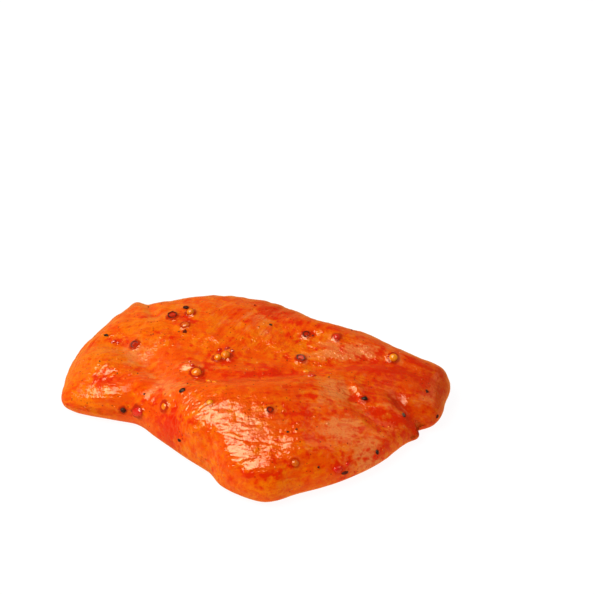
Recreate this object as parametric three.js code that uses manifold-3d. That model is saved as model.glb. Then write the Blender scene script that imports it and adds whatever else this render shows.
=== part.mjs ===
// A marinated chicken steak: one boneless breast piece lying flat, with the larger mustard seeds, cracked
// peppercorns and chili pieces of its marinade stuck to the wet top.
// Millimetres, +Z up. +X runs along the steak to its narrow tip, -Y is the side of the thick front muscle,
// and the origin is on the table, under the middle of the piece.
import * as THREE from "three";
import { mergeVertices } from "three/addons/utils/BufferGeometryUtils.js";
import Module from "manifold-3d";

// Driving sizes of the meat
const HEART = [-8, 3]; // the point inside the steak that its outline is measured from
const THINNEST = 11; // height of the meat where no muscle swells
const SHOULDER_POWER = 2.4; // how squarely the top rolls over into the side
const FLAT_POWER = 14; // how far the flat underside reaches towards the edge
const FLAT_LIFT = 0.15; // levels the underside where it starts to turn up
const RIM_AT = 0.62; // share of the way from the top's middle to the underside's that the rim comes at
const SIDE_CELLS = 24; // faces along each side of the cube that is blown up into the steak
const EDGE_STEPS = 800; // steps that the outline is measured in
const CREASE_STEPS = 12; // steps between two points of a crease
const NORMAL_STEP = 0.2; // half the step that the top's slope is measured over

// The outline where the steak is widest, from the narrow tip on over the back and the left to the front:
// x, y, height of the rim above the table, and width of the shoulder over it
const OUTLINE = [
  [76.4, 3.5, 7, 11],
  [74.8, 12.4, 7.5, 11],
  [69, 16.2, 7, 11],
  [56.5, 23, 7, 11],
  [43, 31, 7, 11],
  [29, 33.8, 7, 11],
  [18, 42.3, 7, 11],
  [4, 50.2, 7, 12],
  [-12, 54.4, 7, 12],
  [-28, 54.4, 7, 12],
  [-43, 52.7, 7, 12],
  [-51, 57, 7, 12],
  [-58.8, 48.5, 7, 12],
  [-67.3, 36.4, 6.5, 12],
  [-74, 22.4, 6, 13],
  [-77, 3.5, 5, 14],
  [-76.5, -1.2, 5, 13.5],
  [-73.3, -4, 5, 13],
  [-60, -7.9, 5, 12],
  [-48, -11.3, 5, 12],
  [-39.4, -19, 5, 12],
  [-28.8, -29, 5, 11],
  [-17.2, -39.4, 5, 10],
  [-12.2, -46.8, 5, 9],
  [-5, -51.9, 5, 9],
  [5, -55.6, 5, 9],
  [17.5, -50.9, 5, 11],
  [36, -42.8, 5, 16],
  [49.3, -33.2, 5, 18],
  [55.2, -26.2, 4.5, 16],
  [59.6, -22, 4, 12],
  [62.6, -20.3, 4, 10],
  [62.6, -16, 4, 9],
  [69.3, -13.4, 5, 9],
  [72.6, -8.4, 6, 10],
  [74.4, -2.5, 6.5, 10],
];

// Muscles that swell above the thinnest meat, or dip below it
const SWELLINGS = [
  { name: "front muscle", at: [-3, -20], half: [48, 32], turn: 4, height: 14 },
  { name: "back plateau", at: [-18, 35], half: [46, 34], turn: 0, height: 12 },
  { name: "ridge towards the tip", at: [38, 18], half: [38, 22], turn: -24, height: 7.5 },
  { name: "low tip", at: [66, -6], half: [16, 14], turn: 0, height: -1 },
  { name: "back corner of the tip", at: [72, 10], half: [9, 9], turn: 0, height: 1.3 },
  { name: "left lobe", at: [-62, 13], half: [24, 28], turn: 0, height: 1.5 },
  { name: "knob on the left lobe", at: [-58, 13], half: [11, 6], turn: 0, height: 1.6 },
];

// Grooves between the muscles. The step is how far the meat on the left of the line stands above the right
const CREASES = [
  {
    name: "fall behind the front muscle",
    line: [[-26, -6], [-16, -10], [-5, -10], [7, -8], [19, -3], [30, 2]],
    width: 15,
    depth: 0.5,
    step: -4,
  },
  {
    name: "main groove",
    line: [[-24, -7], [-14, -10], [-4, -10], [7, -8], [19, -3], [33, 3], [50, 7], [65, 4]],
    width: 4.5,
    depth: 2,
    step: -0.5,
  },
  {
    name: "left crease",
    line: [[-62, 23], [-53, 17], [-45, 10], [-39, 1], [-35, -10]],
    width: 6,
    depth: 2.5,
    step: 0,
  },
  { name: "pit at the front left", line: [[-42, -10], [-36, -19], [-31, -27]], width: 7, depth: 3, step: 0 },
  {
    name: "fold under the thumb of meat",
    line: [[36, -11], [38.5, -16], [42.5, -20.5], [48, -22.5], [54, -21], [61, -18.5], [67, -16]],
    width: 4.5,
    depth: 1.6,
    step: 0.9,
  },
  {
    name: "fold beside the thumb of meat",
    line: [[53, -8.5], [55, -12.5], [57.5, -16], [61, -18], [65, -18.5]],
    width: 3,
    depth: 2.4,
    step: 0.3,
  },
  { name: "nick in the back edge", line: [[-50, 59], [-43.5, 39], [-41, 32]], width: 2.5, depth: 1.5, step: 0 },
  {
    name: "ridge line",
    line: [[12, 27], [29, 21], [42, 15], [53, 11], [64, 5.5]],
    width: 5,
    depth: -1.2,
    step: 0,
  },
];

// Seasoning stuck to the top: place, length, width and height, turn in degrees, share sunk in the meat
const MUSTARD_SEEDS = [
  { at: [-27.1, 32.4], size: [3, 3, 2.9], turn: 0, sunk: 0.35 },
  { at: [-14.8, 4.3], size: [2.9, 2.9, 2.8], turn: 0, sunk: 0.3 },
  { at: [-11.9, 5.4], size: [3.6, 3.5, 3.3], turn: 0, sunk: 0.3 },
  { at: [-22.7, -3.9], size: [3.9, 3.8, 3.4], turn: 0, sunk: 0.35 },
  { at: [-16.3, -25.7], size: [2.6, 2.4, 1.8], turn: 0, sunk: 0.5 },
  { at: [53.6, 8.9], size: [3.3, 3.1, 3.1], turn: 20, sunk: 0.3 },
  { at: [19.4, -2], size: [2.6, 1.9, 1.4], turn: 5, sunk: 0.4 },
  { at: [-34.1, -17.6], size: [3.2, 3.1, 2.2], turn: 0, sunk: 0.6 },
  { at: [-28.8, 24.6], size: [3.5, 2.8, 2], turn: 10, sunk: 0.5 },
  { at: [15.1, -47.2], size: [2.7, 2.6, 1.8], turn: 0, sunk: 0.5 },
];
const PEPPER_PIECES = [
  { at: [-34.3, 31.3], size: [3.5, 3.3, 2.4], turn: 20, sunk: 0.35 },
  { at: [-29.2, 36.1], size: [2.7, 1.9, 1.6], turn: -15, sunk: 0.3 },
  { at: [-48.7, 18.3], size: [3.1, 2.7, 2.2], turn: 40, sunk: 0.4 },
  { at: [-61.2, 26.7], size: [2.7, 1.3, 1.2], turn: -35, sunk: 0.3 },
  { at: [-28.6, 20.7], size: [2.3, 1.9, 1.5], turn: 60, sunk: 0.4 },
  { at: [17.3, 4.7], size: [3.2, 2.6, 2], turn: -20, sunk: 0.35 },
  { at: [19.5, 17.5], size: [2.6, 2.3, 1.9], turn: 15, sunk: 0.35 },
  { at: [-27.1, -16.2], size: [2.8, 2, 1.5], turn: 10, sunk: 0.35 },
  { at: [-51, -9.8], size: [2.4, 2.3, 2], turn: 0, sunk: 0.35 },
  { at: [5.9, -29], size: [2.4, 2.3, 1.7], turn: 30, sunk: 0.35 },
  { at: [41.5, -15.1], size: [2.6, 2.4, 1.9], turn: 45, sunk: 0.3 },
  { at: [56.1, -17.7], size: [2.1, 1.6, 1.4], turn: 0, sunk: 0.35 },
  { at: [33.3, -44], size: [3.1, 1.3, 1.2], turn: 25, sunk: 0.35 },
];
const CHILI_PIECES = [
  { at: [-45, -12.4], size: [4.9, 3.6, 2.2], turn: -20, sunk: 0.4 },
  { at: [31.6, 15.9], size: [2.8, 2.7, 2.2], turn: 0, sunk: 0.35 },
  { at: [21.5, -7.1], size: [3.5, 2.3, 1.5], turn: 15, sunk: 0.4 },
  { at: [30.9, -44.4], size: [3.6, 2.6, 1.4], turn: 20, sunk: 0.4 },
];

// Wet, deep orange marinade
const MARINADE = new THREE.MeshStandardMaterial({ color: 0xe8600c, roughness: 0.2, metalness: 0 });

const wasm = await Module();
wasm.setup();

// The outline as knots round the steak: direction, reach from the heart, rim height and shoulder width
const KNOTS = OUTLINE.map(([x, y, rim, shoulder]) => ({
  turn: wrap(Math.atan2(y - HEART[1], x - HEART[0])),
  reach: Math.hypot(x - HEART[0], y - HEART[1]),
  rim,
  shoulder,
})).sort((a, b) => a.turn - b.turn);

// The outline's smooth curve in short steps, each with its length
const EDGE = edgeSteps();

// Each crease's smooth line in short steps
const CREASE_RUNS = CREASES.map((crease) => ({ ...crease, steps: creaseSteps(crease.line) }));

function wrap(angle) {
  return THREE.MathUtils.euclideanModulo(angle, 2 * Math.PI);
}

// A value of the knots in any direction, on one smooth curve round the steak
function around(turn, key) {
  const angle = wrap(turn);
  const count = KNOTS.length;
  const knot = (i) => {
    const lap = Math.floor(i / count);
    const own = KNOTS[i - lap * count];
    return { at: own.turn + lap * 2 * Math.PI, value: own[key] };
  };
  const slope = (i) => (knot(i + 1).value - knot(i - 1).value) / (knot(i + 1).at - knot(i - 1).at);
  const before = KNOTS.filter((own) => own.turn <= angle).length - 1;
  const a = knot(before);
  const b = knot(before + 1);
  const gap = b.at - a.at;
  const u = (angle - a.at) / gap;
  return (
    (2 * u ** 3 - 3 * u ** 2 + 1) * a.value +
    (u ** 3 - 2 * u ** 2 + u) * slope(before) * gap +
    (-2 * u ** 3 + 3 * u ** 2) * b.value +
    (u ** 3 - u ** 2) * slope(before + 1) * gap
  );
}

function edgeSteps() {
  const points = Array.from({ length: EDGE_STEPS }, (_, i) => {
    const turn = (i * 2 * Math.PI) / EDGE_STEPS;
    const reach = around(turn, "reach");
    return [HEART[0] + reach * Math.cos(turn), HEART[1] + reach * Math.sin(turn)];
  });
  return points.map(([x, y], i) => {
    const next = points[(i + 1) % EDGE_STEPS];
    const last = points[(i + EDGE_STEPS - 1) % EDGE_STEPS];
    return { x, y, length: Math.hypot(next[0] - last[0], next[1] - last[1]) / 2 };
  });
}

// A smooth distance to the outline: each step of it counts by the fourth power of its nearness, so that
// the shoulder has no ridge where two stretches of the outline are equally near
function fromEdge(x, y) {
  let sum = 0;
  for (const step of EDGE) {
    const square = (x - step.x) ** 2 + (y - step.y) ** 2 + 1e-9;
    sum += step.length / square ** 2;
  }
  return (sum / (Math.PI / 2)) ** (-1 / 3);
}

function creaseSteps(line) {
  const points = line.map(([x, y]) => new THREE.Vector2(x, y));
  const first = points[0].clone().multiplyScalar(2).sub(points[1]);
  const last = points.at(-1).clone().multiplyScalar(2).sub(points.at(-2));
  const all = [first, ...points, last];
  const run = [];
  for (let i = 1; i < all.length - 2; i += 1) {
    for (let k = 0; k < CREASE_STEPS; k += 1) {
      run.push(throughPoints(all.slice(i - 1, i + 3), k / CREASE_STEPS));
    }
  }
  run.push(points.at(-1));
  return run.slice(1).map((b, i) => {
    const a = run[i];
    return { x: (a.x + b.x) / 2, y: (a.y + b.y) / 2, dx: b.x - a.x, dy: b.y - a.y, length: a.distanceTo(b) };
  });
}

// A point between the second and third of four points, on the smooth curve through them
function throughPoints([a, b, c, d], t) {
  const mix = (p, q, r, s) =>
    0.5 * (2 * q + (r - p) * t + (2 * p - 5 * q + 4 * r - s) * t ** 2 + (3 * q - p - 3 * r + s) * t ** 3);
  return new THREE.Vector2(mix(a.x, b.x, c.x, d.x), mix(a.y, b.y, c.y, d.y));
}

// How much a crease lifts the top at a place: a soft trough along its line, with one side higher
function creaseLift(crease, x, y) {
  let lift = 0;
  for (const step of crease.steps) {
    const dx = x - step.x;
    const dy = y - step.y;
    const nearness = Math.exp(-(dx ** 2 + dy ** 2) / crease.width ** 2);
    const share = (nearness * step.length) / (crease.width * Math.sqrt(Math.PI));
    const left = (step.dx * dy - step.dy * dx) / (step.length * crease.width);
    lift += share * (crease.step * left - crease.depth);
  }
  return lift;
}

function swellingLift(swelling, x, y) {
  const turn = THREE.MathUtils.degToRad(swelling.turn);
  const dx = x - swelling.at[0];
  const dy = y - swelling.at[1];
  const along = (dx * Math.cos(turn) + dy * Math.sin(turn)) / swelling.half[0];
  const across = (dy * Math.cos(turn) - dx * Math.sin(turn)) / swelling.half[1];
  return swelling.height * Math.exp(-(along ** 2) - across ** 2);
}

// Height of the meat away from its shoulders
function meatHeight(x, y) {
  const swellings = SWELLINGS.reduce((sum, swelling) => sum + swellingLift(swelling, x, y), 0);
  const creases = CREASE_RUNS.reduce((sum, crease) => sum + creaseLift(crease, x, y), 0);
  return THINNEST + swellings + creases;
}

// Height of the top, which rolls over its shoulder down to the rim
function top(x, y) {
  const turn = Math.atan2(y - HEART[1], x - HEART[0]);
  const room = around(turn, "reach") - Math.hypot(x - HEART[0], y - HEART[1]);
  const inside = Math.min(fromEdge(x, y), Math.max(room, 0));
  const share = Math.min(inside / around(turn, "shoulder"), 1);
  const rim = around(turn, "rim");
  return rim + (meatHeight(x, y) - rim) * Math.sqrt(1 - (1 - share) ** SHOULDER_POWER);
}

// Height of the underside, which lies flat on the table and turns up at the rim
function underside(turn, share) {
  const turnUp = 1 - Math.sqrt(Math.max(1 - share ** FLAT_POWER, 0));
  return Math.max(around(turn, "rim") * turnUp - FLAT_LIFT, 0);
}

// Where a point of a ball's skin goes on the steak
function onSteak(point) {
  const turn = Math.atan2(point.y, point.x);
  const down = Math.acos(THREE.MathUtils.clamp(point.z / point.length(), -1, 1)) / Math.PI;
  const upper = down <= RIM_AT;
  const outward = upper ? down / RIM_AT : (1 - down) / (1 - RIM_AT);
  const share = Math.sin((outward * Math.PI) / 2);
  const reach = share * around(turn, "reach");
  const x = HEART[0] + reach * Math.cos(turn);
  const y = HEART[1] + reach * Math.sin(turn);
  return new THREE.Vector3(x, y, upper ? top(x, y) : underside(turn, share));
}

function closed(geometry) {
  geometry.deleteAttribute("normal");
  geometry.deleteAttribute("uv");
  return mergeVertices(geometry);
}

// The meat: a cube's skin cut into small cells, blown up to a ball and laid onto the steak's surface
function meatGeometry() {
  const geometry = closed(new THREE.BoxGeometry(2, 2, 2, SIDE_CELLS, SIDE_CELLS, SIDE_CELLS));
  const position = geometry.attributes.position;
  const even = (value) => Math.tan((value * Math.PI) / 4);
  for (let i = 0; i < position.count; i += 1) {
    const skin = new THREE.Vector3(even(position.getX(i)), even(position.getY(i)), even(position.getZ(i)));
    position.setXYZ(i, ...onSteak(skin).toArray());
  }
  return geometry;
}

function topNormal(x, y) {
  const slopeX = (top(x + NORMAL_STEP, y) - top(x - NORMAL_STEP, y)) / (2 * NORMAL_STEP);
  const slopeY = (top(x, y + NORMAL_STEP) - top(x, y - NORMAL_STEP)) / (2 * NORMAL_STEP);
  return new THREE.Vector3(-slopeX, -slopeY, 1).normalize();
}

// A piece of seasoning: a small shape stretched to its size, turned, and sunk into the sloping top
function seasoning(shape, { at: [x, y], size, turn, sunk }) {
  const geometry = closed(shape.clone());
  const normal = topNormal(x, y);
  geometry.scale(...size);
  geometry.rotateZ(THREE.MathUtils.degToRad(turn));
  geometry.applyQuaternion(new THREE.Quaternion().setFromUnitVectors(new THREE.Vector3(0, 0, 1), normal));
  const centre = new THREE.Vector3(x, y, top(x, y)).addScaledVector(normal, size[2] * (0.5 - sunk));
  geometry.translate(...centre.toArray());
  return geometry;
}

function toSolid(geometry) {
  const vertProperties = new Float32Array(geometry.attributes.position.array);
  const triVerts = new Uint32Array(geometry.index.array);
  return new wasm.Manifold(new wasm.Mesh({ numProp: 3, vertProperties, triVerts }));
}

function toGeometry(solid) {
  const { vertProperties, triVerts } = solid.getMesh();
  const geometry = new THREE.BufferGeometry();
  geometry.setAttribute("position", new THREE.BufferAttribute(vertProperties, 3));
  geometry.setIndex(new THREE.BufferAttribute(triVerts, 1));
  return geometry;
}

// The steak with its seasoning fused on, standing over the middle of its own outline
function steakGeometry() {
  const seed = new THREE.SphereGeometry(0.5, 6, 4);
  const corn = new THREE.IcosahedronGeometry(0.5, 0);
  const flake = new THREE.SphereGeometry(0.5, 7, 3);
  const pieces = [
    ...MUSTARD_SEEDS.map((piece) => seasoning(seed, piece)),
    ...PEPPER_PIECES.map((piece) => seasoning(corn, piece)),
    ...CHILI_PIECES.map((piece) => seasoning(flake, piece)),
  ];
  const solid = pieces.reduce((whole, piece) => whole.add(toSolid(piece)), toSolid(meatGeometry()));
  const geometry = toGeometry(solid);
  geometry.computeBoundingBox();
  const middle = geometry.boundingBox.getCenter(new THREE.Vector3());
  geometry.translate(-middle.x, -middle.y, 0);
  geometry.computeVertexNormals();
  return geometry;
}

const steak = new THREE.Mesh(steakGeometry(), MARINADE);
steak.name = "chicken_steak";

const part = new THREE.Group();
part.add(steak);

export default part;
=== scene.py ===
# %% [markdown]
# # A marinated chicken steak
#
# One raw breast steak lies flat in a wet orange marinade, with mustard seeds, cracked pepper and bits of
# red chili stuck to it. This lesson dresses the plain solid of that steak: it keeps the solid's form, and
# adds fibres, stretched skin, pools of marinade and gloss. The first cell loads the frame and measures it.

import math

import bmesh
import bpy
import numpy as np
from mathutils import Matrix, Vector


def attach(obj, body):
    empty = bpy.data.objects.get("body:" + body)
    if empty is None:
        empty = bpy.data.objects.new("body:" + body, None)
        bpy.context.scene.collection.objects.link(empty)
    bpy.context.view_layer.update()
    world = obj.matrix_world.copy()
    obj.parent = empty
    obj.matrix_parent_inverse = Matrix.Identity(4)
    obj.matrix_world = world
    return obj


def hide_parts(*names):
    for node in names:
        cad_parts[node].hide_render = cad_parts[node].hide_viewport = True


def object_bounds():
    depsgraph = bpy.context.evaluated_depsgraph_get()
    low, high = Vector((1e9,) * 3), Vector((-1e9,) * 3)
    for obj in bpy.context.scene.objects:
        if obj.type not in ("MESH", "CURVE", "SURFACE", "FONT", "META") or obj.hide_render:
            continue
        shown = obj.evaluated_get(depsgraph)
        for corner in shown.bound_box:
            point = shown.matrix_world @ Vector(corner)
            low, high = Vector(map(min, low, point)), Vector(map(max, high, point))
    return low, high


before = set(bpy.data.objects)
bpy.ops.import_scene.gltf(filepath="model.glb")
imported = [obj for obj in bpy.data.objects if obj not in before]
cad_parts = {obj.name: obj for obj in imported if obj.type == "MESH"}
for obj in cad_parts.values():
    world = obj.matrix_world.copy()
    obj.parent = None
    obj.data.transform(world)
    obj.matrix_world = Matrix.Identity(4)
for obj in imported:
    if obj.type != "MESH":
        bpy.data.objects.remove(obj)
solid_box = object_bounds()
MM = 0.001  # the form below is worked out in millimetres, and Blender's unit is the metre
PLACE_SEED = 20
print("solid box in mm:", [[round(v / MM, 1) for v in corner] for corner in solid_box])

# %% [markdown]
# ## The camera
#
# The steak is seen from the front and above with a long lens, so its far side is hardly smaller than its
# near side. The camera's place follows from how steeply it looks down, its lens, how many millimetres a
# pixel covers at the steak, and which pixel the steak's middle falls on.

# %% Place the camera
LENS_MM = 85.0
SENSOR_MM = 36.0
LOOK_DOWN = math.radians(36.0)
PICTURE_PX = 595.0
MM_PER_PX = 0.3866
STEAK_MIDDLE_PX = (255.5, 397.0)
LOOKED_AT = Vector((0.25, -6.95, 12.0)) * MM

right = Vector((1.0, 0.0, 0.0))
forward = Vector((0.0, math.cos(LOOK_DOWN), -math.sin(LOOK_DOWN)))
up = Vector((0.0, math.sin(LOOK_DOWN), math.cos(LOOK_DOWN)))
pixel = MM_PER_PX * MM
distance = LENS_MM / SENSOR_MM * PICTURE_PX * pixel
aside = (STEAK_MIDDLE_PX[0] - PICTURE_PX / 2) * pixel
below = (STEAK_MIDDLE_PX[1] - PICTURE_PX / 2) * pixel

camera = bpy.data.objects.new("camera", bpy.data.cameras.new("camera"))
camera.data.lens = LENS_MM
camera.data.sensor_width = SENSOR_MM
camera.data.clip_start = 0.01
camera.location = LOOKED_AT - aside * right + below * up - distance * forward
camera.rotation_euler = (math.pi / 2 - LOOK_DOWN, 0.0, 0.0)
bpy.context.scene.collection.objects.link(camera)
bpy.context.scene.camera = camera
print("camera stands", round(distance, 3), "m away at", [round(v, 4) for v in camera.location])

# %% [markdown]
# ## The form of the meat
#
# A breast steak can be told in a few words: an outline, with the height of its rim and the width of the
# shoulder over it; muscles that swell; and grooves between them. These are the solid's own sizes, so a fine
# mesh made from them lies on the solid, and nothing has to be fitted.

# %% Sizes of the meat, in millimetres
HEART = np.array([-8.0, 3.0])
THINNEST = 11.0
SHOULDER_POWER = 2.4
FLAT_POWER = 14
FLAT_LIFT = 0.15
EDGE_STEPS = 800
PLAIN_WITHIN = (0.6, 2.5)  # where the plain distance to the outline gives way to the melted one
CREASE_STEPS = 12

# x, y, height of the rim and width of the shoulder, from the narrow tip on over the back
OUTLINE = [
    (76.4, 3.5, 7, 11), (74.8, 12.4, 7.5, 11), (69, 16.2, 7, 11), (56.5, 23, 7, 11),
    (43, 31, 7, 11), (29, 33.8, 7, 11), (18, 42.3, 7, 11), (4, 50.2, 7, 12),
    (-12, 54.4, 7, 12), (-28, 54.4, 7, 12), (-43, 52.7, 7, 12), (-51, 57, 7, 12),
    (-58.8, 48.5, 7, 12), (-67.3, 36.4, 6.5, 12), (-74, 22.4, 6, 13), (-77, 3.5, 5, 14),
    (-76.5, -1.2, 5, 13.5), (-73.3, -4, 5, 13), (-60, -7.9, 5, 12), (-48, -11.3, 5, 12),
    (-39.4, -19, 5, 12), (-28.8, -29, 5, 11), (-17.2, -39.4, 5, 10), (-12.2, -46.8, 5, 9),
    (-5, -51.9, 5, 9), (5, -55.6, 5, 9), (17.5, -50.9, 5, 11), (36, -42.8, 5, 16),
    (49.3, -33.2, 5, 18), (55.2, -26.2, 4.5, 16), (59.6, -22, 4, 12), (62.6, -20.3, 4, 10),
    (62.6, -16, 4, 9), (69.3, -13.4, 5, 9), (72.6, -8.4, 6, 10), (74.4, -2.5, 6.5, 10),
]
# place, half sizes along and across, turn in degrees, height
SWELLINGS = [
    ((-3, -20), (48, 32), 4, 14),
    ((-18, 35), (46, 34), 0, 12),
    ((38, 18), (38, 22), -24, 7.5),
    ((66, -6), (16, 14), 0, -1),
    ((72, 10), (9, 9), 0, 1.3),
    ((-62, 13), (24, 28), 0, 1.5),
    ((-58, 13), (11, 6), 0, 1.6),
]
# line, half width, depth, step from its right side up to its left side
CREASES = {
    "fall behind front muscle": (
        [(-26, -6), (-16, -10), (-5, -10), (7, -8), (19, -3), (30, 2)], 15, 0.5, -4),
    "main groove": (
        [(-24, -7), (-14, -10), (-4, -10), (7, -8), (19, -3), (33, 3), (50, 7), (65, 4)], 4.5, 2, -0.5),
    "left crease": ([(-62, 23), (-53, 17), (-45, 10), (-39, 1), (-35, -10)], 6, 2.5, 0),
    "front left pit": ([(-42, -10), (-36, -19), (-31, -27)], 7, 3, 0),
    "fold under thumb": (
        [(36, -11), (38.5, -16), (42.5, -20.5), (48, -22.5), (54, -21), (61, -18.5), (67, -16)],
        4.5, 1.6, 0.9),
    "fold beside thumb": ([(53, -8.5), (55, -12.5), (57.5, -16), (61, -18), (65, -18.5)], 3, 2.4, 0.3),
    "back nick": ([(-50, 59), (-43.5, 39), (-41, 32)], 2.5, 1.5, 0),
    "ridge line": ([(12, 27), (29, 21), (42, 15), (53, 11), (64, 5.5)], 5, -1.2, 0),
}
print("outline of", len(OUTLINE), "points,", len(SWELLINGS), "swellings and", len(CREASES), "creases")

# %% [markdown]
# The outline becomes one smooth curve: its reach from a point inside changes with the direction, and a
# cubic fills in between the given values.

# %% The outline as a smooth curve
outline = np.array(OUTLINE, float)
offset = outline[:, :2] - HEART
direction = np.mod(np.arctan2(offset[:, 1], offset[:, 0]), 2 * np.pi)
order = np.argsort(direction)
TURNS = direction[order]
REACH = np.hypot(offset[:, 0], offset[:, 1])[order]
RIM = outline[order, 2]
SHOULDER = outline[order, 3]


def around(turn, values):
    """A value in any direction, on one smooth curve round the steak."""
    turns = np.concatenate([TURNS - 2 * np.pi, TURNS, TURNS + 2 * np.pi])
    lap = np.concatenate([values, values, values])
    slope = np.gradient(lap) * 2
    slope[1:-1] = (lap[2:] - lap[:-2]) / (turns[2:] - turns[:-2])
    angle = np.mod(turn, 2 * np.pi)
    before = np.searchsorted(turns, angle, side="right") - 1
    gap = turns[before + 1] - turns[before]
    u = (angle - turns[before]) / gap
    return (
        (2 * u**3 - 3 * u**2 + 1) * lap[before]
        + (u**3 - 2 * u**2 + u) * slope[before] * gap
        + (-2 * u**3 + 3 * u**2) * lap[before + 1]
        + (u**3 - u**2) * slope[before + 1] * gap
    )


edge_turns = np.arange(EDGE_STEPS) * 2 * np.pi / EDGE_STEPS
edge_reach = around(edge_turns, REACH)
EDGE = HEART + edge_reach[:, None] * np.stack([np.cos(edge_turns), np.sin(edge_turns)], axis=1)
EDGE_LENGTHS = np.linalg.norm(np.roll(EDGE, -1, axis=0) - np.roll(EDGE, 1, axis=0), axis=1) / 2
EDGE_WAYS = np.roll(EDGE, -1, axis=0) - np.roll(EDGE, 1, axis=0)
EDGE_NORMALS = np.stack([EDGE_WAYS[:, 1], -EDGE_WAYS[:, 0]], axis=1)
EDGE_NORMALS /= np.linalg.norm(EDGE_NORMALS, axis=1, keepdims=True)
STAND = np.array(solid_box[0])[:2] / MM - EDGE.min(axis=0)
print("outline", (EDGE.max(axis=0) - EDGE.min(axis=0)).round(1), "mm, moved to the solid by", STAND.round(2))

# %% [markdown]
# How far a point is from the outline sets how high the shoulder stands there. The plain distance has a
# crest like a roof's where two stretches are equally near, so every step of the outline counts by the
# fourth power of its nearness instead. Close to the outline, the plain distance takes over.

# %% Distance to the outline, swellings and creases


def smooth_step(value, low, high):
    """0 below low, 1 above high, and a soft ramp between."""
    t = np.clip((value - low) / (high - low), 0, 1)
    return t * t * (3 - 2 * t)


def from_edge(points):
    """A smooth distance from each point to the outline, in batches that fit in memory."""
    batch = 4000
    found = []
    for start in range(0, len(points), batch):
        dx = points[start:start + batch, :1] - EDGE[:, 0]
        dy = points[start:start + batch, 1:2] - EDGE[:, 1]
        square = dx**2 + dy**2 + 1e-9
        melted = ((EDGE_LENGTHS / square**2).sum(axis=1) / (np.pi / 2)) ** (-1 / 3)
        nearest = square.argmin(axis=1)[:, None]
        dx, dy = np.take_along_axis(dx, nearest, 1)[:, 0], np.take_along_axis(dy, nearest, 1)[:, 0]
        plain = np.abs(dx * EDGE_NORMALS[nearest[:, 0], 0] + dy * EDGE_NORMALS[nearest[:, 0], 1])
        far = smooth_step(np.hypot(dx, dy), *PLAIN_WITHIN)
        found.append(plain + (melted - plain) * far)
    return np.concatenate(found)


def smooth_line(points):
    """A smooth curve through points, cut into short steps."""
    given = [np.array(point, float) for point in points]
    given = [2 * given[0] - given[1], *given, 2 * given[-1] - given[-2]]
    run = []
    for a, b, c, d in zip(given, given[1:], given[2:], given[3:]):
        for t in np.arange(CREASE_STEPS) / CREASE_STEPS:
            cubic = (2 * a - 5 * b + 4 * c - d) * t**2 + (3 * b - a - 3 * c + d) * t**3
            run.append(0.5 * (2 * b + (c - a) * t + cubic))
    return np.array([*run, given[-2]])


def along_line(points, line, width):
    """How near each point is to a line, from 1 on it to 0, and how far left of it, in widths."""
    near = np.zeros(len(points))
    left = np.zeros(len(points))
    steps = smooth_line(line)
    for (ax, ay), (bx, by) in zip(steps, steps[1:]):
        length = math.hypot(bx - ax, by - ay)
        dx = points[:, 0] - (ax + bx) / 2
        dy = points[:, 1] - (ay + by) / 2
        share = np.exp(-(dx**2 + dy**2) / width**2) * length / (width * math.sqrt(math.pi))
        near += share
        left += share * ((bx - ax) * dy - (by - ay) * dx) / (length * width)
    return near, left


def turned(points, degrees):
    """How far points are along a direction, and how far to its left."""
    c, s = math.cos(math.radians(degrees)), math.sin(math.radians(degrees))
    return points[:, 0] * c + points[:, 1] * s, points[:, 1] * c - points[:, 0] * s


def mound(points, place, half, turn=0.0):
    """A round mound, from 1 in its middle to 0 far away."""
    along, across = turned(points[:, :2] - place, turn)
    return np.exp(-((along / half[0]) ** 2) - (across / half[1]) ** 2)


def meat_height(points):
    """Height of the meat away from its shoulders."""
    height = np.full(len(points), THINNEST)
    for place, half, turn, rise in SWELLINGS:
        height += rise * mound(points, place, half, turn)
    for line, width, depth, step in CREASES.values():
        near, left = along_line(points, line, width)
        height += step * left - depth * near
    return height


def turn_of(points):
    """The direction of points from the heart."""
    return np.arctan2(points[:, 1] - HEART[1], points[:, 0] - HEART[0])


def top(points):
    """Height of the top, which rolls over its shoulder down to the rim."""
    turn = turn_of(points)
    room = np.maximum(around(turn, REACH) - np.hypot(*(points[:, :2] - HEART).T), 0)
    share = np.minimum(np.minimum(from_edge(points), room) / around(turn, SHOULDER), 1)
    rim = around(turn, RIM)
    return rim + (meat_height(points) - rim) * np.sqrt(1 - (1 - share) ** SHOULDER_POWER)


def underside(turn, share):
    """Height of the underside, which lies flat and turns up at the rim."""
    turn_up = 1 - np.sqrt(np.clip(1 - share**FLAT_POWER, 0, 1))
    return np.maximum(around(turn, RIM) * turn_up - FLAT_LIFT, 0)


print("top over the heart:", top(HEART[None]).round(1), "mm")

# %% [markdown]
# ## A skin to lay on that form
#
# A flat grid would tear at the sides, and a globe would crowd its points at the poles. A cube whose skin is
# cut into cells and then blown up has no poles. It is cut finest along the steak's length, and the rim
# comes late on the way down, so that most cells are on top.

# %% Cut a cube and lay it on the steak
CELLS_ALONG = 172
CELLS_ACROSS = 122
CELLS_DOWN = 80
RIM_AT = 0.84


def cut_cube():
    """A cube of side 2 whose faces are cut into cells, as a bmesh."""
    bm = bmesh.new()
    bmesh.ops.create_cube(bm, size=2.0)
    for axis, cells in enumerate((CELLS_ALONG, CELLS_ACROSS, CELLS_DOWN)):
        whole = [
            edge for edge in bm.edges
            if abs(edge.verts[0].co[axis] - edge.verts[1].co[axis]) > 1.0
        ]
        bmesh.ops.subdivide_edges(bm, edges=whole, cuts=cells - 1, use_grid_fill=True)
    return bm


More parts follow.
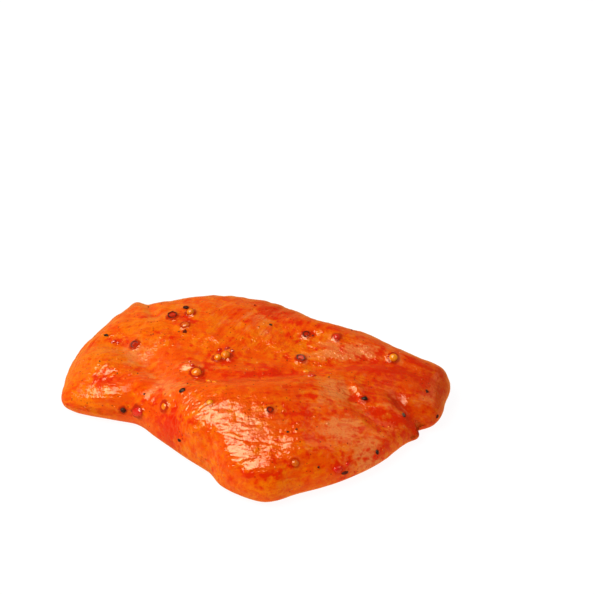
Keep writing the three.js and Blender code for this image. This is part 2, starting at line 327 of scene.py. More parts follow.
def lay_on_steak(skin):
    """Where the points of a cube's skin go on the steak, in millimetres."""
    even = np.tan(skin * np.pi / 4)
    even /= np.linalg.norm(even, axis=1, keepdims=True)
    turn = np.arctan2(even[:, 1], even[:, 0])
    down = np.arccos(np.clip(even[:, 2], -1, 1)) / np.pi
    upper = down <= RIM_AT
    outward = np.where(upper, down / RIM_AT, (1 - down) / (1 - RIM_AT))
    share = np.sin(outward * np.pi / 2)
    reach = share * around(turn, REACH)
    plan = HEART + reach[:, None] * np.stack([np.cos(turn), np.sin(turn)], axis=1)
    return np.column_stack([plan, np.where(upper, top(plan), underside(turn, share))])


def read_rows(items, name):
    """A vector of every item in a mesh's list, one to a row."""
    rows = np.zeros(len(items) * 3, np.float32)
    items.foreach_get(name, rows)
    return rows.reshape(-1, 3).astype(float)


def write_points(mesh, points):
    mesh.vertices.foreach_set("co", points.astype(np.float32).ravel())
    mesh.update()


steak_mesh = bpy.data.meshes.new("steak_meat")
bm = cut_cube()
bm.to_mesh(steak_mesh)
bm.free()
base = lay_on_steak(read_rows(steak_mesh.vertices, "co"))
write_points(steak_mesh, base)
normals = read_rows(steak_mesh.vertex_normals, "vector")
print("skin of", len(steak_mesh.polygons), "faces, box", base.min(axis=0).round(1), base.max(axis=0).round(1))

# %% [markdown]
# ## Where the seasoning lies
#
# Each seed or crumb has its place on the meat and its real size. The list comes before the relief, because
# the marinade climbs up each seed and pools round it.

# %% Places and sizes of the seasoning, in millimetres
# place, length, width and height, turn in degrees, share sunk in the meat, tint from 0 pale to 1 soaked
MUSTARD_SEEDS = [
    ((-27.1, 32.4), (3, 3, 2.9), 0, 0.35, 0.5),
    ((-14.8, 4.3), (2.9, 2.9, 2.8), 0, 0.3, 0.35),
    ((-11.9, 5.4), (3.6, 3.5, 3.3), 0, 0.3, 0.5),
    ((-22.7, -3.9), (3.9, 3.8, 3.4), 0, 0.35, 0.75),
    ((-16.3, -25.7), (2.6, 2.4, 1.8), 0, 0.5, 0.1),
    ((53.6, 8.9), (3.3, 3.1, 3.1), 20, 0.3, 0.0),
    ((19.4, -2), (2.6, 1.9, 1.4), 5, 0.4, 0.2),
    ((-34.1, -17.6), (3.2, 3.1, 2.2), 0, 0.6, 0.8),
    ((-28.8, 24.6), (3.5, 2.8, 2), 10, 0.5, 1.0),
    ((15.1, -47.2), (2.7, 2.6, 1.8), 0, 0.5, 1.0),
    ((-17.9, -9.8), (2.2, 1.2, 1.1), -35, 0.4, 0.3),
    ((-15.2, -13.5), (2.0, 1.1, 1.0), -30, 0.4, 0.4),
]
# the same, with the tint from 0 black to 1 dark red
PEPPER_HUSKS = [
    ((-34.3, 31.3), (3.6, 3.4, 2.6), 20, 0.15, 0.5),
    ((-48.7, 18.3), (3.2, 2.8, 2.4), 40, 0.25, 0.95),
    ((17.3, 4.7), (3.2, 2.6, 2.4), -20, 0.12, 0.1),
    ((19.5, 17.5), (2.6, 2.3, 2.2), 15, 0.12, 0.3),
    ((5.9, -29), (2.4, 2.3, 2.0), 30, 0.12, 0.3),
]
PEPPER_CRUMBS = [
    ((-29.2, 36.1), (2.7, 1.9, 1.6), -15, 0.3, 0.1),
    ((-61.2, 26.7), (2.7, 1.3, 1.2), -35, 0.3, 0.0),
    ((-28.6, 20.7), (2.3, 1.9, 1.5), 60, 0.4, 0.9),
    ((-27.1, -16.2), (2.8, 2, 1.5), 10, 0.35, 0.1),
    ((-51, -9.8), (2.4, 2.3, 2), 0, 0.35, 0.25),
    ((41.5, -15.1), (2.6, 2.4, 1.9), 45, 0.3, 0.0),
    ((56.1, -17.7), (2.1, 1.6, 1.4), 0, 0.35, 0.2),
    ((33.3, -44), (3.1, 1.3, 1.2), 25, 0.35, 0.6),
    ((66.1, -5.7), (1.4, 2.0, 1.1), 0, 0.35, 0.3),
    ((70, -12.5), (1.1, 1.8, 1.0), 0, 0.35, 0.3),
    ((45.7, -34.8), (1.4, 2.0, 1.1), 20, 0.35, 0.0),
    ((5.4, 23), (1.9, 1.0, 0.8), -25, 0.35, 0.1),
    ((-27.3, -29.6), (1.7, 1.2, 0.9), -40, 0.35, 0.1),
    ((22.1, 17.2), (1.2, 0.8, 0.7), 10, 0.35, 0.6),
    ((12.5, -37), (1.1, 0.8, 0.7), 0, 0.35, 0.1),
    ((15.7, -35.7), (1.1, 0.9, 0.7), 30, 0.35, 0.7),
    ((23.8, -46.1), (1.1, 0.9, 0.8), -30, 0.35, 0.4),
    ((-42.4, -9.4), (1.0, 0.8, 0.7), 0, 0.35, 0.6),
    ((-12.7, 4.0), (0.9, 0.8, 0.8), 0, 0.0, 0.0),
]
CHILI_BITS = [
    ((-45, -12.4), (4.9, 3.6, 2.2), -20, 0.4, 0.2),
    ((31.6, 15.9), (2.8, 2.7, 2.2), 0, 0.35, 0.4),
    ((21.5, -7.1), (3.5, 2.3, 1.5), 15, 0.4, 0.4),
    ((30.9, -44.4), (3.6, 2.6, 1.4), 20, 0.4, 0.3),
    ((34.4, -42.1), (1.5, 1.4, 1.2), 0, 0.35, 0.2),
    ((-57.7, 22.7), (2.3, 1.6, 1.3), 30, 0.4, 0.6),
    ((-55.9, 21.7), (1.4, 1.2, 1.0), 0, 0.4, 0.6),
    ((-11.4, 9.8), (2.2, 1.4, 1.4), 10, 0.4, 0.8),
    ((-9.4, 8.5), (1.9, 1.4, 1.3), -50, 0.4, 1.0),
    ((-14.3, 9.3), (2.0, 1.1, 1.0), 30, 0.4, 0.5),
    ((-24.4, -0.1), (1.3, 1.2, 1.0), 0, 0.4, 0.5),
    ((-25.5, 1.6), (1.2, 1.1, 0.9), 0, 0.4, 0.5),
]
SEASONING = [*MUSTARD_SEEDS, *PEPPER_HUSKS, *PEPPER_CRUMBS, *CHILI_BITS]
print("seasoning:", len(SEASONING), "pieces larger than a speck")

# %% [markdown]
# ## Relief: lumps, wrinkles, fibres and pools
#
# Real meat isn't smooth. What a hand would feel goes into the mesh: soft lumps, wrinkles where the thin
# skin of the front muscle is bunched, fibres, and marinade that climbs up the seeds. All of it is noise, a
# smooth random pattern, stretched and turned for each use.

# %% A smooth random pattern
HASH_STEPS = np.array([73856093, 19349663, 83492791])
HASH_MIX = 1274126177
HASH_PART = 65536
NOISE_GAIN = 1.6


def noise(points, seed):
    """Smooth noise from about -1 to 1 for rows of points, with bumps about one unit apart."""
    place = points + 17.31 * seed
    cell = np.floor(place).astype(np.int64)
    inner = place - cell
    blend = inner**3 * (inner * (inner * 6 - 15) + 10)
    total = np.zeros(len(points))
    for corner in np.ndindex(2, 2, 2):
        mixed = ((cell + corner) * HASH_STEPS).sum(axis=1)
        mixed = (mixed ^ (mixed >> 13)) * HASH_MIX
        mixed = mixed ^ (mixed >> 16)
        angle = (mixed % HASH_PART) / HASH_PART * 2 * np.pi
        rise = ((mixed // HASH_PART) % HASH_PART) / HASH_PART * 2 - 1
        flat = np.sqrt(1 - rise**2)
        away = inner - corner
        slope = away[:, 0] * flat * np.cos(angle) + away[:, 1] * flat * np.sin(angle) + away[:, 2] * rise
        total += slope * np.prod(np.where(np.array(corner) == 1, blend, 1 - blend), axis=1)
    return NOISE_GAIN * total


probe = noise(np.random.default_rng(PLACE_SEED).uniform(-50, 50, (2000, 3)), 1)
print("noise runs from", probe.min().round(2), "to", probe.max().round(2))

# %% [markdown]
# The fibres of a breast run together towards its narrow tip. So the grain is two numbers: how far a point
# is from the place beyond the tip where the fibres would meet, and at which angle. Noise stretched along
# the first and squeezed across the second is fibre.

# %% Sizes of the relief, in millimetres
FIBRES_MEET = np.array([125.0, -12.0])
GRAIN_WIDTH = 110.0  # millimetres across the grain for one radian at the meeting place

# place, half sizes, turn, direction of the wrinkles in degrees, their width and length, and their height
WRINKLED = [
    ((-4, -42), (24, 10), 0, -4, 1.6, 8.0, 0.32),
    ((-19, -27), (16, 8), -20, 24, 1.5, 5.0, 0.26),
    ((-30, -12), (14, 6), -15, 15, 1.9, 6.0, 0.2),
    ((12, -34), (11, 8), 0, 40, 1.7, 2.6, 0.16),
    ((30, -22), (14, 12), 0, 60, 2.2, 4.0, 0.12),
    ((-58, 3), (14, 14), 0, 25, 1.4, 3.4, 0.30),
    ((38, -33), (14, 8), 0, 50, 2.0, 4.0, 0.10),
]
PLATE_BEND = (9.0, 2.2)  # how far apart the bends of the wrinkles are, and how far they swing
PLATE_VALLEY = 0.3
# size and height of each kind of lump, and width, length and height of each kind of fibre
SOFT_LUMPS = ((14.0, 0.45), (6.0, 0.10))
FOLDED_LUMPS = ((9.0, 0.55), (4.2, 0.22), (2.0, 0.06))
FOLD_SOFTNESS = 0.08
FOLD_MIDDLE = 0.3
FIBRE_SIZES = ((2.4, 18.0, 0.07), (1.2, 9.0, 0.035))
# the middle of the back muscle, half sizes and turn of the part whose fibres run across, and their direction
BACK_FIBRES = ((2, 26), (26, 20), 10)
BACK_FIBRES_WAY = 58
RIM_SKIN_WIDTH = 7.0
RIM_SKIN_FROM = 0.14
RIM_SKIN_RISE = 0.11
RIM_SKIN_RAGGED = (6.0, 1.5)
RIM_SKIN_FOLDS = (14.0, 1.3, 4.0)
# place, half sizes, turn and height of single small bumps that catch the light
BUMPS = [
    ((-26.5, 0.6), (4.2, 2.6), 0, 1.3), ((38.5, -9.5), (3.2, 1.6), -60, 0.7), ((-17, 16), (4, 1.6), -30, 0.4),
    ((49, -17), (6, 4), 0, 0.8), ((-34, -13.6), (5, 3), 0, 0.5), ((62, 7), (7, 3), -30, 0.5),
    ((24, -20), (6, 3), 30, 0.4), ((-2, -51), (3, 2), 0, 0.5), ((-58, -6.5), (12, 3), 0, 1.5),
    ((16, -40), (5, 6), 0, 0.8), ((-60, 7), (5, 3), 0, 0.8), ((-24, -30), (8, 4), -40, 0.9),
    ((-26.5, 0.6), (3, 1.8), 0, 0.3),
]
POOL_HEIGHT = 0.6
POOL_WIDTH = 1.2
POOL_RAGGED = (1.7, 0.35)
POOL_FROM_PIECE = (0.7, 2.8)  # heights of a piece that draws no pool, and a full one
FLOOR_CLEAR = (1.5, 6.0)  # relief fades in between these heights, so that the steak still rests flat
print(len(WRINKLED), "wrinkled places,", len(BUMPS), "single bumps")

# %% [markdown]
# The grain is worked out for three kinds of surface: the breast, the back muscle, whose fibres run another
# way, and the skin that is drawn tight round the rim. Wrinkles have a direction of their own.

# %% Grain and wrinkles


def grain_of(points):
    """Along the fibres, across them, and up, in millimetres."""
    offset = FIBRES_MEET - points[:, :2]
    angle = np.arctan2(-offset[:, 1], offset[:, 0])
    return np.stack([np.hypot(offset[:, 0], offset[:, 1]), angle * GRAIN_WIDTH, points[:, 2]], axis=1)


def back_grain_of(points):
    """The same for the back muscle, whose fibres run straight and across the others."""
    return np.stack([*turned(points, BACK_FIBRES_WAY), points[:, 2]], axis=1)


def rim_grain_of(points):
    """How far along the outline and how far in from it, for the skin that is drawn tight round the rim."""
    gone = np.concatenate([[0], np.cumsum(np.linalg.norm(np.diff(EDGE, axis=0), axis=1))])
    turn = np.mod(turn_of(points), 2 * np.pi)
    along = np.interp(turn, np.append(edge_turns, 2 * np.pi), np.append(gone, gone[-1]))
    return np.stack([along, from_edge(points), points[:, 2]], axis=1)


def on_rim(points):
    """1 on the drawn skin round the back, the left end and the tip, 0 elsewhere."""
    behind = smooth_step(np.sin(turn_of(points)), RIM_SKIN_FROM - 0.1, RIM_SKIN_FROM + 0.1)
    inside = from_edge(points) + RIM_SKIN_RAGGED[1] * noise(points / RIM_SKIN_RAGGED[0], 9)
    return behind * smooth_step(-inside, -RIM_SKIN_WIDTH - 2, -RIM_SKIN_WIDTH + 2)


def on_back(points):
    """1 where the back muscle's own fibres show, 0 elsewhere."""
    place, half, turn = BACK_FIBRES
    return smooth_step(mound(points, place, half, turn), 0.25, 0.6)


def wrinkles(points):
    """Flat plates of bunched skin with narrow valleys between them."""
    height = np.zeros(len(points))
    bend = PLATE_BEND[1] * noise(points / PLATE_BEND[0], 3)
    for place, half, turn, way, width, length, rise in WRINKLED:
        along, across = turned(points, way)
        across += bend
        plates = noise(np.stack([along / length, across / width, points[:, 2] / width / 2], axis=1), 5)
        where = mound(points, place, half, turn)
        height += rise * smooth_step(where, 0.15, 0.6) * (1 - np.exp(-((plates / PLATE_VALLEY) ** 2)))
    return height


print("the back muscle's own grain covers", round(100 * on_back(base).mean()), "% of the skin")

# %% [markdown]
# Each piece of seasoning stands in a pool. The relief adds up all that stands off the smooth form.

# %% Raise the relief
seat_plan = np.array([piece[0] for piece in SEASONING], float)
SEATS = np.column_stack([seat_plan, top(seat_plan)])


def pools(points):
    """Marinade that climbs up the seasoning: 1 at a seed's foot, 0 away from it."""
    most = np.zeros(len(points))
    ragged = 1 + POOL_RAGGED[1] * noise(points / POOL_RAGGED[0], 7)
    for seat_place, piece in zip(SEATS, SEASONING):
        length, width, height = piece[1]
        gap = np.linalg.norm(points - seat_place, axis=1) - (length + width) / 4 * ragged
        share = smooth_step(height, *POOL_FROM_PIECE)
        most = np.maximum(most, share * np.exp(-((np.maximum(gap, 0) / POOL_WIDTH) ** 2)))
    return most


def relief(points):
    """How far the real surface stands off the smooth form, in millimetres."""
    height = POOL_HEIGHT * pools(points) + wrinkles(points)
    for seed, (size, rise) in enumerate(SOFT_LUMPS):
        height += rise * noise(points / size, 11 + seed)
    for seed, (size, rise) in enumerate(FOLDED_LUMPS):
        folded = noise(points / size, 15 + seed)
        height += rise * (np.sqrt(folded**2 + FOLD_SOFTNESS**2) - FOLD_MIDDLE)
    for place, half, turn, rise in BUMPS:
        height += rise * mound(points, place, half, turn)
    drawn = noise(rim_grain_of(points) / RIM_SKIN_FOLDS, 31)
    height += RIM_SKIN_RISE * on_rim(points) * drawn
    grain, back_grain, back = grain_of(points), back_grain_of(points), on_back(points)
    for seed, (width, length, rise) in enumerate(FIBRE_SIZES):
        size = np.array([length, width, width * 2])
        fibres = (1 - back) * noise(grain / size, 21 + seed) + back * noise(back_grain / size, 25 + seed)
        height += rise * fibres
    return height * smooth_step(points[:, 2], *FLOOR_CLEAR)


rise = relief(base)
surface = base + normals * rise[:, None]
surface[:, :2] += STAND
write_points(steak_mesh, surface * MM)
print("relief from", rise.min().round(2), "to", rise.max().round(2), "mm")

# %% [markdown]
# ## Colour by place
#
# The marinade is deep red where it gathers in the grooves and round each seed, and that red is also painted
# shade in the grooves and hollows and a painted shadow round the seeds. It is yellow where it is thin over a
# bulge, and yellow is also painted light on the left end and along the lit back edge. It is pink where bare
# meat shows, and pink is also a painted sheen on some slopes and on the rim. The tip and the slope behind are
# darker with painted shade, and in a few places the film has run off.
# All this is stored on the mesh's points as numbers, and the material reads them.

# %% Store the colour masks on the mesh
# groove and how strongly red gathers in it, as redder marinade and as painted shade in the groove
RED_GROOVES = {"main groove": 0.5, "front left pit": 0.3, "fold under thumb": 0.8, "fold beside thumb": 0.9}
RED_GROOVE_WIDTH = 0.7  # of the groove's own width
RED_TO_TIP = (-10, 45)  # between these places along the steak it grows redder towards the tip
RED_AT_TIP = 0.32
# place, half sizes, turn, strength
PATCHES = {}
# red patches: redder marinade, and also painted shade in hollows, crevices, under the thumb and on the slope
# behind
PATCHES["red"] = [
    ((-58, -1.5), (8, 3.5), 0, 0.8), ((-55, 22), (8, 1.8), -30, 0.8), ((-30, 28), (6, 5), -40, 0.7),
    ((-12, 6), (7, 5), 0, 0.8), ((2, -5), (15, 4.5), 0, 0.7), ((44, 1.5), (18, 2.4), 6, 1.1),
    ((8, 35), (17, 8), -30, 1.2), ((35, 24), (12, 5), -24, 1.0), ((56, 14), (16, 5), -27, 0.8),
    ((19, 17), (7, 4), 0, 0.7), ((-31.5, -24.5), (6, 4), -40, 1.1), ((19, -27), (6, 14), 0, 0.6),
    ((33, -43.5), (6, 4.5), 10, 0.9), ((54.5, -13), (3.5, 5), 60, 1.2), ((46, -20.5), (9, 2.5), 0, 1.0),
    ((42, -12), (5, 6), -60, 0.7), ((68, 1), (9, 12), -20, 0.7), ((12, -51), (18, 5), 0, 0.35),
    ((-10, 44), (30, 6), 0, 0.5), ((-21, -2), (5, 3), 0, 0.6),
]
# pink patches: bare meat, and also painted sheen on slopes that catch a dim reflection
PATCHES["pale"] = [
    ((-48, 13), (9, 8), -40, 0.65), ((-40, 3), (5, 8), -30, 0.45), ((-34, -9), (7, 4.5), -20, 0.9),
    ((-38.5, 18), (6, 3), 20, 0.5), ((-10, 25.5), (7, 2.5), -15, 0.5), ((0, 27.5), (7, 3), -20, 0.6),
    ((22, 33), (10, 3), -30, 0.9), ((37, 9.5), (15, 4), 8, 0.95), ((28, 11), (6, 4), 0, 0.6),
    ((32, -32), (9, 6), 20, 0.95), ((30.5, -14), (7, 6), 0, 0.8), ((27, -20), (7, 6), 0, 0.5),
    ((43, -36), (9, 5), 30, 0.9), ((49, -17), (5, 3), 0, 0.4), ((66, -8), (4, 5), 0, 0.3),
    ((-27.6, 0.5), (4.5, 2.5), 0, 0.8), ((-18, 0), (6, 4), -20, 0.5), ((-2, -36), (16, 9), 0, 0.35),
    ((2, 20), (7, 5), -30, 0.4),
]
# yellow patches: thin marinade over bulges, and also painted light on the left end and a painted highlight on
# the lit back edge
PATCHES["yellow"] = [
    ((-69, 4), (12, 12), 0, 0.9), ((-56, 16), (10, 14), 0, 0.8), ((-44, 28), (18, 10), 0, 0.8),
    ((-24, -36), (14, 7), -40, 0.4), ((-17, 12), (14, 10), 0, 0.4), ((18, 12), (14, 8), 0, 0.7),
    ((30, -13), (10, 7), 0, 0.6), ((2, -54), (26, 4), 0, 0.4), ((55, -27), (10, 8), 0, 0.4),
    ((44, -33), (12, 8), 20, 0.4), ((24, 34), (13, 4), -14, 1.3), ((-8, 20), (20, 12), 0, 0.35),
]
# painted shade: the tip, the thumb's crevice and the slope behind are darker because less light falls there
PATCHES["painted_shade"] = [
    ((72, -2), (12, 16), 0, 0.75), ((55, -12.5), (4, 5), 40, 0.9), ((8, 39), (16, 6), -25, 0.6),
    ((55, 19), (22, 5), -27, 0.5), ((60, -21), (5, 4), 0, 0.5),
]
PATCHES["dry"] = [
    ((-70, -1), (7, 6), 0, 1.0), ((-43.5, -6), (9, 5), 0, 1.3), ((-42, 9), (5, 5), 0, 0.8),
]


def patches(points, places):
    """How strongly any of the patches covers each point."""
    most = np.zeros(len(points))
    for place, half, turn, strength in places:
        most = np.maximum(most, strength * mound(points, place, half, turn))
    return most


def store(mesh, name, values):
    """Stores a number, or three of them, for each point of a mesh."""
    kind, key = ("FLOAT_VECTOR", "vector") if values.ndim == 2 else ("FLOAT", "value")
    layer = mesh.attributes.new(name, kind, "POINT")
    layer.data.foreach_set(key, values.astype(np.float32).ravel())


masks = {name: patches(base, places) for name, places in PATCHES.items()}
masks["red"] = np.maximum(masks["red"], RED_AT_TIP * smooth_step(base[:, 0], *RED_TO_TIP))
for name, strength in RED_GROOVES.items():
    line, width, depth, step = CREASES[name]
    near, left = along_line(base, line, width * RED_GROOVE_WIDTH)
    masks["red"] = np.maximum(masks["red"], strength * near)
for name, rule in (("pool", pools), ("back", on_back), ("rim", on_rim)):
    masks[name] = rule(base)
for name, rule in (("grain", grain_of), ("back_grain", back_grain_of), ("rim_grain", rim_grain_of)):
    masks[name] = rule(base) * MM
for name, values in masks.items():
    store(steak_mesh, name, values)
print("masks stored:", list(masks))

# %% [markdown]
# ## Building materials in code
#
# A few small helpers keep the node trees short: they add a node and fill its sockets, make noise, or lay
# colours over each other. An effect that several finishes share is a node group with named sockets.

# %% Helpers for node trees
NODE_GAP = 180


def fill(tree, sockets, values):
    """Sets sockets to values or links outputs to them. A colour is given without its alpha."""
    for name, value in values.items():
        socket = sockets[name]
        if isinstance(value, bpy.types.NodeSocket):
            tree.links.new(value, socket)
        else:
            socket.default_value = (*value, 1.0) if socket.type == "RGBA" else value


def add(tree, kind, values=None, **settings):
    """A node with its settings and its sockets filled."""
    node = tree.nodes.new(kind)
    node.location = (NODE_GAP * len(tree.nodes), 0)
    for name, value in settings.items():
        setattr(node, name, value)
    fill(tree, node.inputs, values or {})
    return node


def maths(tree, operation, first, second, clamp=False):
    return add(tree, "ShaderNodeMath", {0: first, 1: second}, operation=operation, use_clamp=clamp).outputs[0]


def times(tree, first, second):
    return maths(tree, "MULTIPLY", first, second)


def total(tree, first, *others):
    for other in others:
        first = maths(tree, "ADD", first, other)
    return first


def swing(tree, value, amount):
    """Noise turned into something that swings about zero."""
    return times(tree, maths(tree, "SUBTRACT", value, 0.5), amount)


def ramp(tree, value, low, high):
    """0 where the value is below low, 1 where it is above high."""
    values = {"Value": value, "From Min": low, "From Max": high}
    return add(tree, "ShaderNodeMapRange", values, interpolation_type="SMOOTHSTEP").outputs["Result"]


def lay_over(tree, colour, *layers):
    """Colours laid over a first one, each after the share of the surface that it covers."""
    for share, layer in layers:
        colour = add(tree, "ShaderNodeMix", {0: share, 6: colour, 7: layer}, data_type="RGBA").outputs[2]
    return colour


def mask_of(tree, name):
    return add(tree, "ShaderNodeAttribute", attribute_name=name).outputs["Fac"]


def noise_of(tree, place, scale, detail):
    return add(tree, "ShaderNodeTexNoise", {"Vector": place, "Scale": scale, "Detail": detail}).outputs["Fac"]


def bump_of(tree, strength, millimetres, height):
    values = {"Strength": strength, "Distance": millimetres * MM, "Height": height}
    return add(tree, "ShaderNodeBump", values).outputs[0]


def new_material(name):
    """A new material, with its node tree, its shader and the place on the object."""
    material = bpy.data.materials.new(name)
    material.use_nodes = True
    tree = material.node_tree
    return material, tree, tree.nodes["Principled BSDF"], add(tree, "ShaderNodeTexCoord").outputs["Object"]


# %% [markdown]
# The wet film is on everything. It is a thin liquid with low ripples of its own, and a little duller where
# it is thin.

# %% The wet film, shared by all finishes
THIN_PATCHES = 260.0


def wet_film_group():
    """A node group that gives the film's roughness and the height of its ripples."""
    group = bpy.data.node_groups.new("wet_film", "ShaderNodeTree")
    group.interface.new_socket("Place", in_out="INPUT", socket_type="NodeSocketVector")
    for way, names in (("INPUT", ("Ripple mm", "Gloss", "Dull")), ("OUTPUT", ("Roughness", "Height"))):
        for name in names:
            group.interface.new_socket(name, in_out=way, socket_type="NodeSocketFloat")
    given = group.nodes.new("NodeGroupInput").outputs
    ripples = maths(group, "DIVIDE", 1.0 / MM, given["Ripple mm"])
    thin = ramp(group, noise_of(group, given["Place"], THIN_PATCHES, 3.0), 0.45, 0.7)
    duller = times(group, thin, maths(group, "SUBTRACT", given["Dull"], given["Gloss"]))
    fill(group, group.nodes.new("NodeGroupOutput").inputs, {
        "Roughness": total(group, given["Gloss"], duller),
        "Height": noise_of(group, given["Place"], ripples, 2.0),
    })
    return group


wet_film = wet_film_group()


def film_on(tree, place, ripple, gloss, dull):
    """The film in a material: width of its ripples in millimetres, roughness where thick and where thin."""
    values = {"Place": place, "Ripple mm": ripple, "Gloss": gloss, "Dull": dull}
    return add(tree, "ShaderNodeGroup", values, node_tree=wet_film).outputs


print("group", wet_film.name, "has", len(wet_film.nodes), "nodes")

# %% [markdown]
# ## The marinated meat
#
# Colours are laid over each other by the stored masks. Noise breaks up the edge of each patch, fibre
# streaks run through all of them, and ground spice is a scatter of fine dots.

# %% The meat's material
ORANGE = (0.94, 0.088, 0.0)
# yellow of thin marinade, used also as painted light
YELLOW = (0.97, 0.175, 0.0)
# pink of bare meat, used also for painted sheen on slopes and on the rim
PINK = (0.93, 0.26, 0.065)
RED = (0.82, 0.012, 0.0)
# deep red: marinade pooled at the foot of each seed, and a painted shadow round it
DEEP_RED = (0.52, 0.005, 0.0)
SPICE = (0.34, 0.012, 0.0)
# painted shade, laid on the tip, the thumb's crevice and the slope behind
PAINTED_SHADE = (0.42, 0.018, 0.001)
# streaks to the metre along the grain, across it and up
FINE_STREAKS = (110.0, 1000.0, 500.0)
BROAD_STREAKS = (35.0, 330.0, 170.0)
RIM_STREAKS = (60.0, 900.0, 300.0)
# lumps to the metre and detail of each noise
CLOUD = (190.0, 4.0)
BLOTCH = (430.0, 4.0)
MOTTLE = (270.0, 3.0)
BARE_GRAIN = (620.0, 3.0)
SPECKLE = (1300.0, 3.0)
# how many cells to the metre, the dots' radius, the share of cells that holds one, and the random channel
SPICE_DOTS = (800.0, 0.3, 0.1, 0)
BEADS = (420.0, 0.28, 0.10, 1)


def streaks_of(tree, name, bend, scale):
    """Noise drawn out along stored grain, and bent a little."""
    grain = add(tree, "ShaderNodeAttribute", attribute_name=name).outputs["Vector"]
    bent = add(tree, "ShaderNodeVectorMath", {0: bend, 1: (MM, MM, MM), 2: grain}, operation="MULTIPLY_ADD")
    place = add(tree, "ShaderNodeMapping", {"Vector": bent.outputs[0], "Scale": scale}).outputs[0]
    return noise_of(tree, place, 1.0, 4.0)


def dots_of(tree, place, scale, radius, share, channel):
    """Round dots: a share of the cells of a Voronoi pattern holds one."""
    cells = add(tree, "ShaderNodeTexVoronoi", {"Vector": place, "Scale": scale}, feature="F1")
    drawn = add(tree, "ShaderNodeSeparateColor", {0: cells.outputs["Color"]}).outputs[channel]
    chosen = ramp(tree, drawn, 1.0 - share - 0.02, 1.0 - share)
    return times(tree, chosen, ramp(tree, cells.outputs["Distance"], radius, radius * 0.4))


def meat_colour(tree, place, fine_streak, broad_streak, drawn, fine):
    cloud = noise_of(tree, place, *CLOUD)
    blotch = noise_of(tree, place, *BLOTCH)
    streaky = total(tree, swing(tree, fine_streak, 0.8), swing(tree, broad_streak, 1.5))
    ragged = total(tree, swing(tree, blotch, 2.0), swing(tree, cloud, 2.0), streaky)
    mottle = total(tree, swing(tree, noise_of(tree, place, *MOTTLE), 3.0), swing(tree, broad_streak, 1.6))
    pale = ramp(tree, total(tree, mask_of(tree, "pale"), times(tree, ragged, 0.7)), 0.2, 0.9)
    rim = mask_of(tree, "rim")
    vein = ramp(tree, total(tree, fine_streak, swing(tree, cloud, 0.6)), 0.52, 0.64)
    return lay_over(
        tree, ORANGE,
        # yellow: thin marinade, and painted light on the left end and the back edge
        (ramp(tree, total(tree, mask_of(tree, "yellow"), mottle), -0.1, 0.7), YELLOW),
        # pink patches: bare meat, and also painted sheen on slopes that catch a dim reflection
        (times(tree, pale, 0.75), PINK),
        # pale streaks on the rim: the drawn skin's own streaks, and painted reflection of the light behind on
        # its steep sides
        (times(tree, rim, ramp(tree, drawn, 0.52, 0.66)), PINK),
        (times(tree, rim, ramp(tree, drawn, 0.5, 0.38)), RED),
        # red from the red mask: redder marinade, and painted shade in the grooves and hollows
        (ramp(tree, maths(tree, "SUBTRACT", mask_of(tree, "red"), ragged), 0.12, 0.85), RED),
        (times(tree, vein, 0.45), RED),
        (times(tree, ramp(tree, fine, 0.55, 0.72), 0.5), RED),
        # deep red ring at each seed's foot: pooled marinade and a painted shadow
        (times(tree, ramp(tree, mask_of(tree, "pool"), 0.2, 0.7), 0.95), DEEP_RED),
        # painted shade on the tip, the thumb's crevice and the slope behind
        (times(tree, mask_of(tree, "painted_shade"), 0.6), PAINTED_SHADE),
        (dots_of(tree, place, *SPICE_DOTS), SPICE),
    )


def meat_material():
    material, tree, shader, place = new_material("marinated_meat")
    bend = add(tree, "ShaderNodeTexNoise", {"Vector": place, "Scale": 160.0, "Detail": 2.0}).outputs["Color"]
    back = mask_of(tree, "back")
    streaks = []
    for scale in (FINE_STREAKS, BROAD_STREAKS):
        front_way, back_way = (streaks_of(tree, name, bend, scale) for name in ("grain", "back_grain"))
        streaks.append(add(tree, "ShaderNodeMix", {0: back, 2: front_way, 3: back_way}).outputs[0])
    drawn = streaks_of(tree, "rim_grain", bend, RIM_STREAKS)
    fine = noise_of(tree, place, *SPECKLE)
    film = film_on(tree, place, 1.1, 0.28, 0.42)
    beads = times(tree, dots_of(tree, place, *BEADS), 1.2)
    grainy = times(tree, mask_of(tree, "pale"), swing(tree, noise_of(tree, place, *BARE_GRAIN), 2.6))
    height = total(tree, film["Height"], swing(tree, streaks[0], 0.8), swing(tree, fine, 0.5), beads, grainy)
    bump = bump_of(tree, 0.8, 0.22, height)
    dry = mask_of(tree, "dry")
    fill(tree, shader.inputs, {
        "Base Color": meat_colour(tree, place, *streaks, drawn, fine),
        "Roughness": maths(tree, "ADD", film["Roughness"], times(tree, dry, 0.4), clamp=True),
        "Normal": bump,
        "Specular IOR Level": 0.3,
        "Specular Tint": (1.0, 0.5, 0.05),
        "Subsurface Weight": 0.12,
        "Subsurface Radius": (1.0, 0.25, 0.08),
        "Subsurface Scale": 2.0 * MM,
        "Coat Weight": maths(tree, "SUBTRACT", 1.0, times(tree, dry, 0.9), clamp=True),
        "Coat Roughness": 0.05,
        "Coat IOR": 1.5,
        "Coat Normal": bump,
    })
    return material


def put_on_solid(name, mesh, material):
    """Puts a finished mesh in the plain solid's place, riding on the steak's body."""
    mesh.materials.append(material)
    piece = bpy.data.objects.new(name, mesh)
    bpy.context.scene.collection.objects.link(piece)
    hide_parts("chicken_steak")
    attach(piece, "root")
    print(name, "has", len(mesh.polygons), "faces")


steak_mesh.shade_smooth()
put_on_solid("steak_meat", steak_mesh, meat_material())

# %% [markdown]
# ## Seating a piece on the meat
#
# A seed placed by its x and y has to find the height of the meat there and which way it faces. Then it is
# stretched, turned, tipped and sunk to its share. Round pieces are icospheres that noise has pushed out of
# round, each in its own way.

# %% Find the surface under a piece
SLOPE_STEP = 0.2
SHARP_FROM = math.radians(38)
SEED_RADIUS = 0.5


